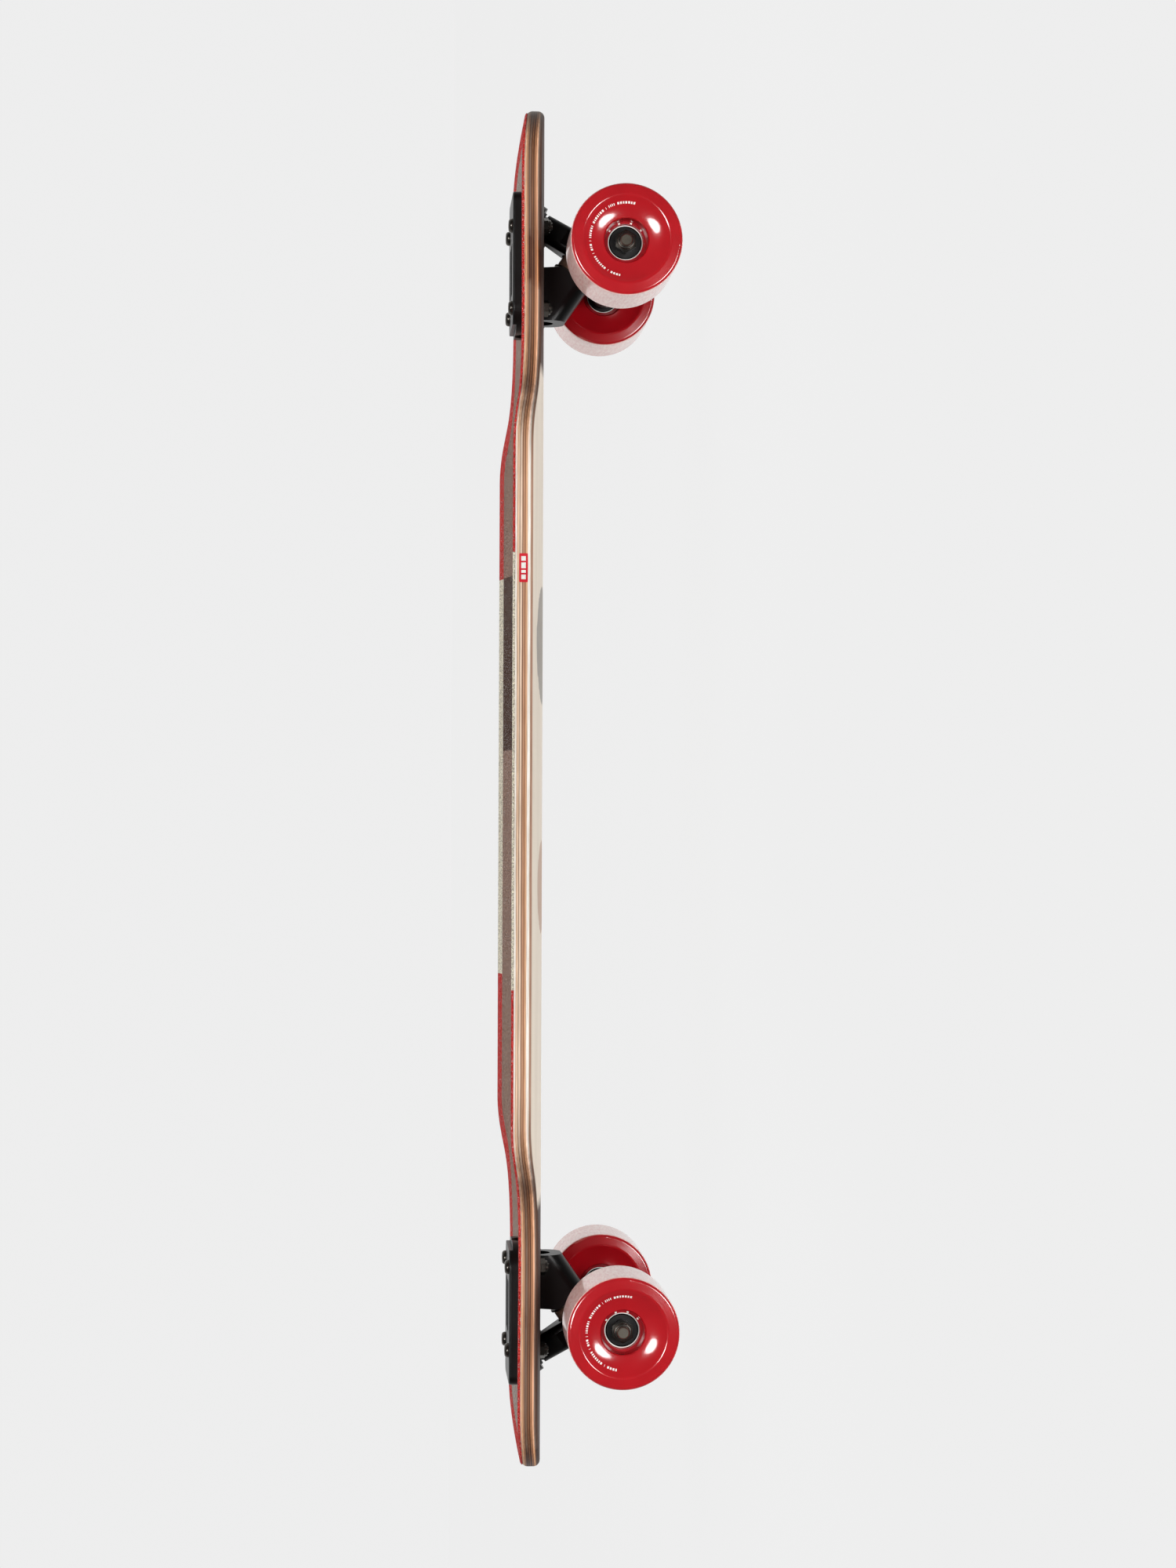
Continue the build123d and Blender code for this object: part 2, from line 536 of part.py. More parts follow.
def ball_groove(start_y):
    """The torus that the balls run in, a little larger than the balls."""
    with BuildPart(AXLE_SQUARE.offset(start_y + BEARING_WIDTH / 2)) as groove:
        Torus(BALL_PITCH_RADIUS, BALL_RADIUS + 0.08)
    return groove.part


def inner_race(start_y):
    with BuildPart() as race:
        add(tube(start_y, start_y + BEARING_WIDTH, AXLE_RADIUS + 0.03, RACE_INNER_RADIUS))
        add(ball_groove(start_y), mode=Mode.SUBTRACT)
    return race.part


def outer_race(start_y):
    with BuildPart() as race:
        add(tube(start_y, start_y + BEARING_WIDTH, RACE_OUTER_RADIUS, BEARING_RADIUS))
        add(ball_groove(start_y), mode=Mode.SUBTRACT)
        add(shield_pocket(start_y), mode=Mode.SUBTRACT)
        add(shield_pocket(start_y + BEARING_WIDTH - 2 * SHIELD_THICKNESS), mode=Mode.SUBTRACT)
    return race.part


def shield_pocket(start_y):
    return tube(start_y, start_y + 2 * SHIELD_THICKNESS, RACE_OUTER_RADIUS - 1, SHIELD_OUTER_RADIUS)


def make_bearing_pieces():
    starts = (INNER_BEARING_Y, OUTER_BEARING_Y)
    with BuildPart() as races:
        for start in starts:
            add(outer_race(start))
    save_at_corners(races.part, "outer_races")
    with BuildPart() as shields:
        for start in starts:
            for face in (start + SHIELD_THICKNESS / 2, start + BEARING_WIDTH - SHIELD_THICKNESS * 1.5):
                add(tube(face, face + SHIELD_THICKNESS, SHIELD_INNER_RADIUS, SHIELD_OUTER_RADIUS))
    save_at_corners(shields.part, "bearing_shields")
    with BuildPart() as balls:
        for start in starts:
            with Locations(AXLE_SQUARE.offset(start + BEARING_WIDTH / 2)):
                with PolarLocations(BALL_PITCH_RADIUS, BALL_COUNT):
                    Sphere(BALL_RADIUS)
    save_at_corners(balls.part, "bearing_balls")


def make_wheel_core():
    """Moulded core that holds both bearings, with a rib between them."""
    inner_end, outer_end = INNER_BEARING_Y - CORE_LIP, OUTER_BEARING_Y + BEARING_WIDTH + CORE_LIP
    rib_start, rib_end = INNER_BEARING_Y + BEARING_WIDTH, OUTER_BEARING_Y
    core = turned([
        (inner_end, HUB_OPENING_RADIUS), (INNER_BEARING_Y, HUB_OPENING_RADIUS),
        (INNER_BEARING_Y, BEARING_RADIUS), (rib_start, BEARING_RADIUS), (rib_start, RIB_RADIUS),
        (rib_end, RIB_RADIUS), (rib_end, BEARING_RADIUS), (rib_end + BEARING_WIDTH, BEARING_RADIUS),
        (rib_end + BEARING_WIDTH, HUB_OPENING_RADIUS), (outer_end, HUB_OPENING_RADIUS),
        (outer_end, CORE_RADIUS), (inner_end, CORE_RADIUS),
    ])
    save_at_corners(core, "wheel_core")


def tyre_face(face_y, side, core_end):
    """Lines of one wheel face, from the core's edge out to the tread. Side is 1 for the outer face."""
    def at(depth, radius):
        return (face_y - side * depth, radius)

    dish_start, dish_end = at(DISH_START_DEPTH, DISH_START_RADIUS), at(0.5, CREASE_RADIUS - 0.9)
    lip_start = at(0.07, CREASE_RADIUS + 0.9)
    Polyline((core_end, CORE_RADIUS), at(HUB_STEP_DEPTH, HUB_STEP_RADIUS), dish_start)
    ThreePointArc(dish_start, at(DISH_MIDDLE_DEPTH, DISH_MIDDLE_RADIUS), dish_end)
    ThreePointArc(dish_end, at(0.1, CREASE_RADIUS), lip_start)
    Line(lip_start, at(0.5, LIP_RADIUS))
    ThreePointArc(at(0.5, LIP_RADIUS), at(1.15, WHEEL_RADIUS - 0.65), at(TREAD_ROUNDING, WHEEL_RADIUS))


def make_wheel_tyre():
    """Poured urethane with a flat tread, rounded lips and dished faces."""
    inner, outer = WHEEL_INNER_Y, WHEEL_OUTER_Y
    core_inner, core_outer = INNER_BEARING_Y - CORE_LIP, OUTER_BEARING_Y + BEARING_WIDTH + CORE_LIP
    with BuildPart() as tyre:
        with BuildSketch(AXLE_PLANE):
            with BuildLine():
                Line((core_inner, CORE_RADIUS), (core_outer, CORE_RADIUS))
                tyre_face(outer, 1, core_outer)
                Line((outer - TREAD_ROUNDING, WHEEL_RADIUS), (inner + TREAD_ROUNDING, WHEEL_RADIUS))
                tyre_face(inner, -1, core_inner)
            make_face()
        revolve(axis=AXLE_LINE)
    save_at_corners(tyre.part, "wheel_tyre")


os.makedirs("parts", exist_ok=True)
make_deck()
make_grip_tape()
make_rail_badge()
make_baseplate()
make_pivot_cup()
make_hanger()
make_kingpin()
make_kingpin_nut()
make_bushings()
make_cup_washers()
make_mounting_hardware()
make_axle_pieces()
make_bearing_pieces()
make_wheel_core()
make_wheel_tyre()
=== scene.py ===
"""Looks of the drop-through longboard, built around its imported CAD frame. Metres throughout."""

import json
from math import cos, pi, radians, sin, sqrt

import bmesh
import bpy
import numpy as np
from mathutils import Matrix, Vector


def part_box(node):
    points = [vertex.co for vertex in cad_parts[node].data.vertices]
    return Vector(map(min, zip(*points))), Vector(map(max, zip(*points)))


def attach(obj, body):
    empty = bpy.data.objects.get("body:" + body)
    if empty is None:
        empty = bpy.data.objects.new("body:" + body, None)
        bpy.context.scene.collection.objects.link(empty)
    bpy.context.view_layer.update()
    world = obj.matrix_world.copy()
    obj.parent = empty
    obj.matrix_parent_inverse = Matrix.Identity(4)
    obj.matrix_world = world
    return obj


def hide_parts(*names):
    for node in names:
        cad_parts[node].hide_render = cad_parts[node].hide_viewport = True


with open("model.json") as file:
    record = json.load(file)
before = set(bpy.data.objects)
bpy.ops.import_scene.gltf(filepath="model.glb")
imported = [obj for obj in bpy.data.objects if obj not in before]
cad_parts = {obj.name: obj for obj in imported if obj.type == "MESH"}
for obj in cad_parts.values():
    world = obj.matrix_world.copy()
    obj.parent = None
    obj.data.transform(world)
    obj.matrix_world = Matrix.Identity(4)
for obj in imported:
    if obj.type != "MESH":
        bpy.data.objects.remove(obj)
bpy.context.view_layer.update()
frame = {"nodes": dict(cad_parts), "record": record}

MM = 0.001
ENDS = {"nose": 1, "tail": -1}
SIDES = {"left": 1, "right": -1}

# ---- Sizes, from the frame where it holds them ----

DECK_LOW, DECK_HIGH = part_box("deck")
HALF_LENGTH, HALF_WIDTH = DECK_HIGH[0], DECK_HIGH[1]
DECK_BOTTOM_Z = DECK_LOW[2]
DECK_THICKNESS = 12.0 * MM
CONCAVE_RADIUS = 500.0 * MM
CONCAVE_CENTRE_Z = DECK_BOTTOM_Z + CONCAVE_RADIUS
GRIP_THICKNESS = 1.0 * MM
TYRE_LOW, TYRE_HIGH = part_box("nose_left_wheel_tyre")
WHEEL_RADIUS = (TYRE_HIGH[2] - TYRE_LOW[2]) / 2
AXLE_X = (TYRE_HIGH[0] + TYRE_LOW[0]) / 2
AXLE_Z = (TYRE_HIGH[2] + TYRE_LOW[2]) / 2
WHEEL_OUTER_Y = TYRE_HIGH[1]

# The deck's outline: straight rail, waist beside the wheel, elliptical tip
STRAIGHT_RAIL_X = 213.0 * MM
WAIST = [(235.0, 98.0), (256.0, 78.5), (280.0, 67.0), (308.0, 63.5), (350.0, 66.0)]
TIP_START_X, TIP_HALF_WIDTH = 396.0 * MM, 67.5 * MM
CUTOUT_INNER_X, CUTOUT_OUTER_X, CUTOUT_HALF_WIDTH = -34.0 * MM, 46.8 * MM, 14.6 * MM
BOLT_SPACING_X, BOLT_SPACING_Y, BOLT_HOLE_RADIUS = 53.98 * MM, 41.3 * MM, 2.6 * MM
CUTOUT_CORNER = 3.0 * MM
NUT_SEAT_RADIUS, NUT_SEAT_Z = 6.27 * MM, 81.9 * MM
CUT_LOW, CUT_HIGH, SEAT_CUT_LOW = 0.05, 0.15, 0.06     # heights that clear the board


# ---- Camera ----

CAMERA_PLACE = (-0.0258, -1.8545, 0.1838)
CAMERA_TURNS = (("X", 0.86), ("Y", -4.13), ("Z", 0.25))     # degrees from square to the rail
FOCAL_LENGTH_MM, FILM_HEIGHT_MM = 64.6, 36.0


def add_camera():
    """Looks along +Y with the nose up in the picture."""
    data = bpy.data.cameras.new("camera")
    data.sensor_fit = "VERTICAL"
    data.sensor_height = FILM_HEIGHT_MM
    data.lens = FOCAL_LENGTH_MM
    data.clip_end = 50.0
    camera = bpy.data.objects.new("camera", data)
    bpy.context.scene.collection.objects.link(camera)
    turn = Matrix(((0, 1, 0), (0, 0, -1), (-1, 0, 0)))
    for axis, degrees in CAMERA_TURNS:
        turn = turn @ Matrix.Rotation(radians(degrees), 3, axis)
    camera.matrix_world = Matrix.Translation(CAMERA_PLACE) @ turn.to_4x4()
    bpy.context.scene.camera = camera


# ---- Shader helpers ----

class Shader:
    """A node material with a Principled shader, and short ways to add nodes to it."""

    def __init__(self, name, **sockets):
        self.material = bpy.data.materials.new(name)
        self.material.use_nodes = True
        self.tree = self.material.node_tree
        self.surface = self.tree.nodes["Principled BSDF"]
        for socket, value in sockets.items():
            self.surface.inputs[socket.replace("_", " ")].default_value = value
        self.place = None

    def node(self, kind, **settings):
        made = self.tree.nodes.new(kind)
        for key, value in settings.items():
            setattr(made, key, value)
        return made

    def link(self, source, target):
        self.tree.links.new(source, target)

    def feed(self, socket, source):
        if isinstance(source, (int, float, tuple)):
            socket.default_value = source
        else:
            self.link(source, socket)

    def position(self):
        if self.place is None:
            self.place = self.node("ShaderNodeTexCoord").outputs["Object"]
        return self.place

    def axes(self):
        split = self.node("ShaderNodeSeparateXYZ")
        self.link(self.position(), split.inputs[0])
        return split.outputs

    def math(self, operation, first, second=0.0, clamp=False):
        made = self.node("ShaderNodeMath", operation=operation, use_clamp=clamp)
        self.feed(made.inputs[0], first)
        self.feed(made.inputs[1], second)
        return made.outputs[0]

    def between(self, value, low, high):
        """0 below low, 1 above high, and a straight rise between them."""
        made = self.node("ShaderNodeMapRange", clamp=True)
        self.feed(made.inputs[0], value)
        made.inputs[1].default_value, made.inputs[2].default_value = low, high
        return made.outputs[0]

    def within(self, value, low, high):
        """Maps a 0 to 1 value onto the range from low to high."""
        made = self.node("ShaderNodeMapRange", clamp=True)
        self.feed(made.inputs[0], value)
        made.inputs[3].default_value, made.inputs[4].default_value = low, high
        return made.outputs[0]

    def length(self, first, second):
        """The length of a vector from its two parts."""
        squares = [self.math("MULTIPLY", part, part) for part in (first, second)]
        return self.math("SQRT", self.math("ADD", *squares))

    def mix(self, factor, first, second, blend="MIX"):
        made = self.node("ShaderNodeMix", data_type="RGBA", blend_type=blend)
        self.feed(made.inputs["Factor"], factor)
        self.feed(made.inputs[6], first)
        self.feed(made.inputs[7], second)
        return made.outputs[2]

    def stretched(self, scale):
        mapping = self.node("ShaderNodeMapping")
        mapping.inputs["Scale"].default_value = scale
        self.link(self.position(), mapping.inputs[0])
        return mapping.outputs[0]

    def noise(self, scale, detail=3.0, roughness=0.5, stretch=None):
        made = self.node("ShaderNodeTexNoise")
        made.inputs["Scale"].default_value = scale
        made.inputs["Detail"].default_value = detail
        made.inputs["Roughness"].default_value = roughness
        self.link(self.stretched(stretch) if stretch else self.position(), made.inputs["Vector"])
        return made.outputs["Fac"]

    def cells(self, scale):
        made = self.node("ShaderNodeTexVoronoi", feature="F1")
        made.inputs["Scale"].default_value = scale
        self.link(self.position(), made.inputs["Vector"])
        return made

    def ramp(self, value, stops):
        made = self.node("ShaderNodeValToRGB")
        points = made.color_ramp.elements
        while len(points) < len(stops):
            points.new(1.0)
        for point, (at, colour) in zip(points, stops):
            point.position = at
            point.color = colour
        self.feed(made.inputs[0], value)
        return made.outputs[0]

    def bump(self, height, strength, distance):
        made = self.node("ShaderNodeBump")
        made.inputs["Strength"].default_value = strength
        made.inputs["Distance"].default_value = distance
        self.feed(made.inputs["Height"], height)
        self.link(made.outputs[0], self.surface.inputs["Normal"])

    def colour(self, source):
        self.feed(self.surface.inputs["Base Color"], source)

    def roughness(self, source):
        self.feed(self.surface.inputs["Roughness"], source)


def screen(red, green, blue):
    """A display colour out of 255 as the linear colour that a shader takes."""
    def linear(value):
        value /= 255
        return value / 12.92 if value <= 0.04045 else ((value + 0.055) / 1.055) ** 2.4
    return (linear(red), linear(green), linear(blue), 1.0)


def lighter(colour, step):
    return tuple(min(255, part + step) for part in colour)


# ---- Materials ----

PAINT_CHANGE_NOSE_X, PAINT_CHANGE_TAIL_X = 0.145, -0.128     # red ends, pale middle
DARK_PANEL_TAIL_X = 0.026


def grit_over(s, base):
    """Mineral grit on a printed colour, with painted light on the grain tops, painted shade in the
    hollows between them and painted glints on the shiny grains.
    """
    grit = s.cells(1000.0)
    hollows_between_grains = s.between(grit.outputs["Distance"], 0.10, 0.70)
    # painted light and shade: grain tops lighter and hollows between grains darker, following the relief
    # of the bump
    painted_grain_shade = s.mix(hollows_between_grains, (1.45, 1.42, 1.40, 1), (0.52, 0.48, 0.46, 1))
    grit_with_painted_shade = s.mix(1.0, base, painted_grain_shade, "MULTIPLY")
    # painted glints: the shiny grains are painted pale as well as made less rough
    shiny_grains_painted_glint = s.math("GREATER_THAN", s.noise(1900.0, 1.0), 0.66)
    s.colour(s.mix(s.math("MULTIPLY", shiny_grains_painted_glint, 0.75), grit_with_painted_shade, screen(244, 238, 232)))
    s.roughness(s.mix(shiny_grains_painted_glint, (0.95, 0.95, 0.95, 1), (0.30, 0.30, 0.30, 1)))
    height = s.math("ADD", s.math("MULTIPLY", grit.outputs["Distance"], -0.7), s.noise(1500.0, 2.0))
    s.bump(height, 0.9, 0.0007)


def grip_band_material():
    """The printed band along the rails: red at the ends and pale in the middle."""
    s = Shader("grip_band", Roughness=0.9, Specular_IOR_Level=0.35)
    x, _, _ = s.axes()
    middle = s.math("MULTIPLY", s.math("GREATER_THAN", x, PAINT_CHANGE_TAIL_X),
                    s.math("LESS_THAN", x, PAINT_CHANGE_NOSE_X))
    grit_over(s, s.mix(middle, screen(206, 44, 40), screen(232, 228, 208)))
    return s.material


def grip_material():
    """The middle of the board: grey-brown, with a dark panel."""
    s = Shader("grip_tape", Roughness=0.9, Specular_IOR_Level=0.35)
    x, _, _ = s.axes()
    dark = s.math("MULTIPLY", s.math("GREATER_THAN", x, DARK_PANEL_TAIL_X),
                  s.math("LESS_THAN", x, PAINT_CHANGE_NOSE_X))
    along = s.math("ABSOLUTE", x)
    grey = s.mix(s.between(along, 0.26, 0.34), screen(150, 120, 106), screen(166, 156, 148))
    grit_over(s, s.mix(dark, grey, screen(74, 46, 34)))
    return s.material


def deck_height(s, y, z):
    """Height above the curved underside, as a share of the deck's thickness."""
    square = s.math("MULTIPLY", y, y)
    drop = s.math("SQRT", s.math("SUBTRACT", CONCAVE_RADIUS ** 2, square))
    underside = s.math("SUBTRACT", CONCAVE_CENTRE_Z, drop)
    return s.math("DIVIDE", s.math("SUBTRACT", z, underside), DECK_THICKNESS)


RAIL_PLIES = [     # share of the thickness, colour where the rail runs with the grain, its near-white plies a painted highlight
    (0.00, (232, 212, 192)), (0.04, (176, 138, 116)), (0.09, (166, 128, 108)), (0.13, (196, 160, 136)),
    (0.15, (250, 248, 242)), (0.26, (252, 250, 246)), (0.28, (226, 190, 158)), (0.35, (224, 178, 140)),
    (0.385, (196, 146, 112)), (0.40, (124, 80, 56)), (0.425, (186, 138, 108)), (0.50, (210, 166, 134)),
    (0.515, (92, 56, 40)), (0.54, (146, 100, 76)), (0.57, (232, 204, 180)), (0.655, (242, 226, 208)),
    (0.67, (124, 82, 60)), (0.69, (180, 138, 112)), (0.72, (240, 216, 190)), (0.80, (226, 188, 156)),
    (0.825, (190, 144, 114)), (0.84, (250, 246, 240)), (1.0, (252, 250, 246)),
]
DARK_END_PLIES = [    # the same plies where the rail cuts the grain, painted darker than the middle
    (0.00, (60, 36, 26)), (0.10, (52, 30, 20)), (0.17, (84, 50, 34)), (0.20, (170, 116, 80)),
    (0.225, (238, 186, 142)), (0.29, (212, 150, 104)), (0.31, (100, 56, 34)), (0.36, (192, 134, 96)),
    (0.40, (50, 24, 12)), (0.46, (76, 40, 22)), (0.49, (150, 98, 66)), (0.53, (44, 20, 10)),
    (0.60, (110, 66, 42)), (0.63, (46, 22, 12)), (0.70, (96, 58, 38)), (0.73, (176, 124, 92)),
    (0.77, (116, 72, 48)), (0.80, (214, 164, 122)), (0.86, (222, 176, 136)), (0.885, (150, 98, 66)),
    (0.91, (250, 224, 196)), (1.0, (246, 216, 188)),
]
BEND_X = 0.250                  # where the rail turns in to the waist, and the cutter has scorched it
DARK_UNDERSIDE = (0.262, 0.270)     # distances from the middle where the cream paint ends
UNDERSIDE_SHAPES = [    # centre x, centre y, radius, colour: large printed discs
    (0.090, -0.050, 0.038, (160, 152, 143)), (-0.065, -0.050, 0.030, (196, 168, 148)),
    (-0.015, 0.048, 0.052, (176, 58, 50)), (0.165, 0.046, 0.040, (96, 72, 58)),
    (-0.150, 0.040, 0.044, (160, 152, 143)),
]


def deck_material():
    """Laminated rail and cream printed underside."""
    s = Shader("maple_deck", Specular_IOR_Level=0.25)
    x, y, z = s.axes()
    height = deck_height(s, y, z)
    waver = s.math("MULTIPLY", s.math("SUBTRACT", s.noise(9.0, 2.0), 0.5), 0.03)
    ply = s.math("ADD", height, waver)
    # painted highlight: the plies along the middle are painted near-white, as the brightly lit rail
    # looks; the ply lines themselves are real
    bright_mid_plies = s.ramp(ply, [(at, screen(*c)) for at, c in RAIL_PLIES])
    dark_end_plies = s.ramp(ply, [(at, screen(*c)) for at, c in DARK_END_PLIES])
    # along the board: painted highlight in the middle, darker past the waist, sooty at its bends, grey at
    # the tips
    along = s.math("ABSOLUTE", x)
    past_bend = s.between(along, STRAIGHT_RAIL_X - 0.025, STRAIGHT_RAIL_X + 0.045)
    dark_patches_and_painted_sheen = s.math("MULTIPLY", past_bend, s.between(s.noise(14.0, 4.0), 0.28, 0.55), clamp=True)
    rail = s.mix(s.math("MAXIMUM", s.math("MULTIPLY", past_bend, 0.85), dark_patches_and_painted_sheen), bright_mid_plies, dark_end_plies)
    from_bend = s.math("ABSOLUTE", s.math("SUBTRACT", along, BEND_X))
    bend = s.math("SUBTRACT", 1.0, s.between(from_bend, 0.004, 0.026))
    soot = s.math("MULTIPLY", bend, s.between(s.noise(60.0, 3.0), 0.3, 0.6))
    rail = s.mix(s.math("MULTIPLY", soot, 0.6), rail, screen(58, 38, 28))
    char = s.math("MULTIPLY", s.between(x, HALF_LENGTH - 0.030, HALF_LENGTH - 0.012), 0.7)
    rail = s.mix(char, rail, screen(52, 38, 30))
    tip = s.math("MULTIPLY", s.between(x, HALF_LENGTH - 0.009, HALF_LENGTH - 0.004), 0.9)
    rail = s.mix(tip, rail, screen(118, 106, 94))
    # fine grain streaks along the rail
    streak = s.noise(240.0, 6.0, 0.65, stretch=(0.16, 2.0, 6.0))
    grain = s.mix(s.between(streak, 0.35, 0.7), (0.74, 0.66, 0.58, 1), (1.22, 1.20, 1.18, 1))
    rail = s.mix(0.85, rail, s.mix(1.0, rail, grain, "MULTIPLY"))
    # cream underside with its printed discs and faint vertical veneer figure
    below = screen(230, 218, 202)
    for centre_x, centre_y, radius, colour in UNDERSIDE_SHAPES:
        off_x = s.math("SUBTRACT", x, centre_x)
        off_y = s.math("SUBTRACT", y, centre_y)
        wander = s.math("MULTIPLY", s.noise(130.0, 4.0, stretch=(0.3, 2.5, 1)), 0.006)
        ragged = s.math("ADD", s.length(off_x, off_y), wander)
        below = s.mix(s.between(ragged, radius + 0.0032, radius + 0.0024), below, screen(*colour))
    figure = s.noise(42.0, 5.0, 0.6, stretch=(0.12, 2.2, 1.0))
    veneer = s.mix(s.between(figure, 0.3, 0.75), (0.90, 0.885, 0.865, 1), (1.03, 1.03, 1.03, 1))
    below = s.mix(0.8, below, s.mix(1.0, below, veneer, "MULTIPLY"))
    below = s.mix(s.between(along, *DARK_UNDERSIDE), below, screen(70, 48, 38))
    normal = s.node("ShaderNodeSeparateXYZ")
    geometry = s.node("ShaderNodeNewGeometry")
    s.link(geometry.outputs["Normal"], normal.inputs[0])
    facing_down = s.between(normal.outputs[2], -0.80, -0.86)
    s.colour(s.mix(facing_down, rail, below))
    s.roughness(s.within(s.noise(90.0, 3.0), 0.42, 0.62))
    s.bump(s.math("ADD", streak, s.math("MULTIPLY", figure, 0.4)), 0.16, 0.0004)
    return s.material


SEAL_START, SEAL_RIM = 8.9 * MM, 10.4 * MM      # the bearing face is black between these radii
SOFT_EDGE = 0.1 * MM


def from_axle(s):
    """Distance from the nearer axle's centre line."""
    x, _, z = s.axes()
    off_x = s.math("SUBTRACT", s.math("ABSOLUTE", x), AXLE_X)
    return s.length(off_x, s.math("SUBTRACT", z, AXLE_Z))


def tyre_material():
    """Glossy poured urethane with a stone-ground tread, the tread painted pale pink as a painted sheen.
    """
    s = Shader("red_urethane", Subsurface_Weight=0.06, Subsurface_Radius=(0.004, 0.001, 0.001),
               Coat_Weight=1.0, Coat_Roughness=0.09, Specular_IOR_Level=0.5)
    distance = from_axle(s)
    tread = s.between(distance, WHEEL_RADIUS - 0.0005, WHEEL_RADIUS - 0.0001)
    cloud = s.noise(38.0, 3.0)
    red = s.mix(s.between(cloud, 0.3, 0.7), screen(168, 14, 24), screen(182, 18, 28))
    ground = s.noise(700.0, 4.0, 0.6, stretch=(1.0, 0.2, 1.0))
    # painted sheen: the ground tread of the red urethane is painted pale pink where light glances off it;
    # its roughness and relief are real
    dark_patches_and_painted_sheen = s.mix(s.between(ground, 0.35, 0.65), screen(240, 180, 174), screen(255, 220, 212))
    s.colour(s.mix(tread, red, dark_patches_and_painted_sheen))
    s.roughness(s.mix(tread, (0.16, 0.16, 0.16, 1), (0.55, 0.55, 0.55, 1)))
    s.bump(s.math("MULTIPLY", ground, tread), 0.35, 0.0002)
    return s.material


def cast_material(name, colour, rough_low, rough_high, relief, metallic=0.0):
    """Black coating over sand-cast aluminium, a little lighter where it has rubbed."""
    s = Shader(name, Specular_IOR_Level=0.32, Metallic=metallic)
    cast = s.noise(420.0, 5.0, 0.6)
    patch = s.noise(55.0, 3.0)
    s.colour(s.mix(s.between(patch, 0.35, 0.75), screen(*colour), screen(*lighter(colour, 6))))
    s.roughness(s.within(patch, rough_low, rough_high))
    s.bump(cast, relief, 0.0003)
    return s.material


def metal_material(name, colour, roughness, scratch, sealed=False):
    """Plated or polished steel with turning marks. A bearing is sealed in black inside its rim."""
    s = Shader(name, Metallic=1.0)
    distance = from_axle(s)
    turned = s.noise(1.0, 4.0, 0.6, stretch=(60.0, 60.0, 60.0))
    rings = s.math("SINE", s.math("MULTIPLY", distance, 9000.0))
    fine = s.math("ADD", rings, s.math("MULTIPLY", turned, 2.0))
    bright = s.mix(s.between(turned, 0.3, 0.7), screen(*colour), screen(*lighter(colour, 22)))
    if sealed:
        inside = s.between(distance, SEAL_RIM, SEAL_RIM - SOFT_EDGE)
        outside = s.between(distance, SEAL_START - SOFT_EDGE, SEAL_START + SOFT_EDGE)
        seal = s.math("MULTIPLY", inside, outside)
        bright = s.mix(seal, bright, screen(20, 18, 18))
    s.colour(bright)
    s.roughness(s.within(turned, roughness * 0.8, roughness * 1.3))
    s.bump(fine, scratch, 0.00005)
    return s.material


def moulded_material(name, colour, roughness, relief=0.15):
    """Moulded plastic or urethane with a faint uneven skin."""
    s = Shader(name, Specular_IOR_Level=0.45)
    skin = s.noise(160.0, 4.0)
    s.colour(s.mix(s.between(skin, 0.3, 0.7), screen(*colour), screen(*lighter(colour, 10))))
    s.roughness(s.within(skin, roughness * 0.85, roughness * 1.2))
    s.bump(skin, relief, 0.0003)
    return s.material


def print_material():
    """White pad-printed ink."""
    s = Shader("white_print", Specular_IOR_Level=0.4)
    ink = s.noise(900.0, 3.0)
    s.colour(s.mix(s.between(ink, 0.3, 0.7), screen(232, 226, 220), screen(250, 246, 242)))
    s.roughness(s.within(ink, 0.4, 0.6))
    return s.material


# ---- Mesh helpers ----

SHARP_EDGE, SHARP_CUT_EDGE = 35.0, 40.0       # degrees between faces that shade apart


def mesh_object(name, points, faces, materials, slots=None):
    """A closed mesh, smooth but for its sharp edges. slots gives each face its place in materials."""
    mesh = bpy.data.meshes.new(name)
    mesh.from_pydata([tuple(p) for p in points], [], faces)
    for material in materials:
        mesh.materials.append(material)
    if slots:
        mesh.polygons.foreach_set("material_index", slots)
    mesh.validate()
    made = bpy.data.objects.new(name, mesh)
    bpy.context.scene.collection.objects.link(made)
    tidy_mesh(mesh)
    mesh.shade_smooth()
    mesh.set_sharp_from_angle(angle=radians(SHARP_EDGE))
    return made


def tidy_mesh(mesh):
    """Joins doubled points and turns the faces outward."""
    work = bmesh.new()
    work.from_mesh(mesh)
    bmesh.ops.remove_doubles(work, verts=work.verts, dist=1e-6)
    bmesh.ops.dissolve_degenerate(work, edges=work.edges, dist=1e-7)
    bmesh.ops.recalc_face_normals(work, faces=work.faces)
    work.to_mesh(mesh)
    work.free()


def cut(piece, cutters):
    """Subtracts each cutter from a piece and removes the cutter."""
    for cutter in cutters:
        modifier = piece.modifiers.new("cut", "BOOLEAN")
        modifier.operation = "DIFFERENCE"
        modifier.solver = "EXACT"
        modifier.object = cutter
        depsgraph = bpy.context.evaluated_depsgraph_get()
        result = bpy.data.meshes.new_from_object(piece.evaluated_get(depsgraph))
        piece.modifiers.clear()
        old, piece.data = piece.data, result
        bpy.data.meshes.remove(old)
        bpy.data.objects.remove(cutter, do_unlink=True)
    tidy_mesh(piece.data)
    piece.data.shade_smooth()
    piece.data.set_sharp_from_angle(angle=radians(SHARP_CUT_EDGE))


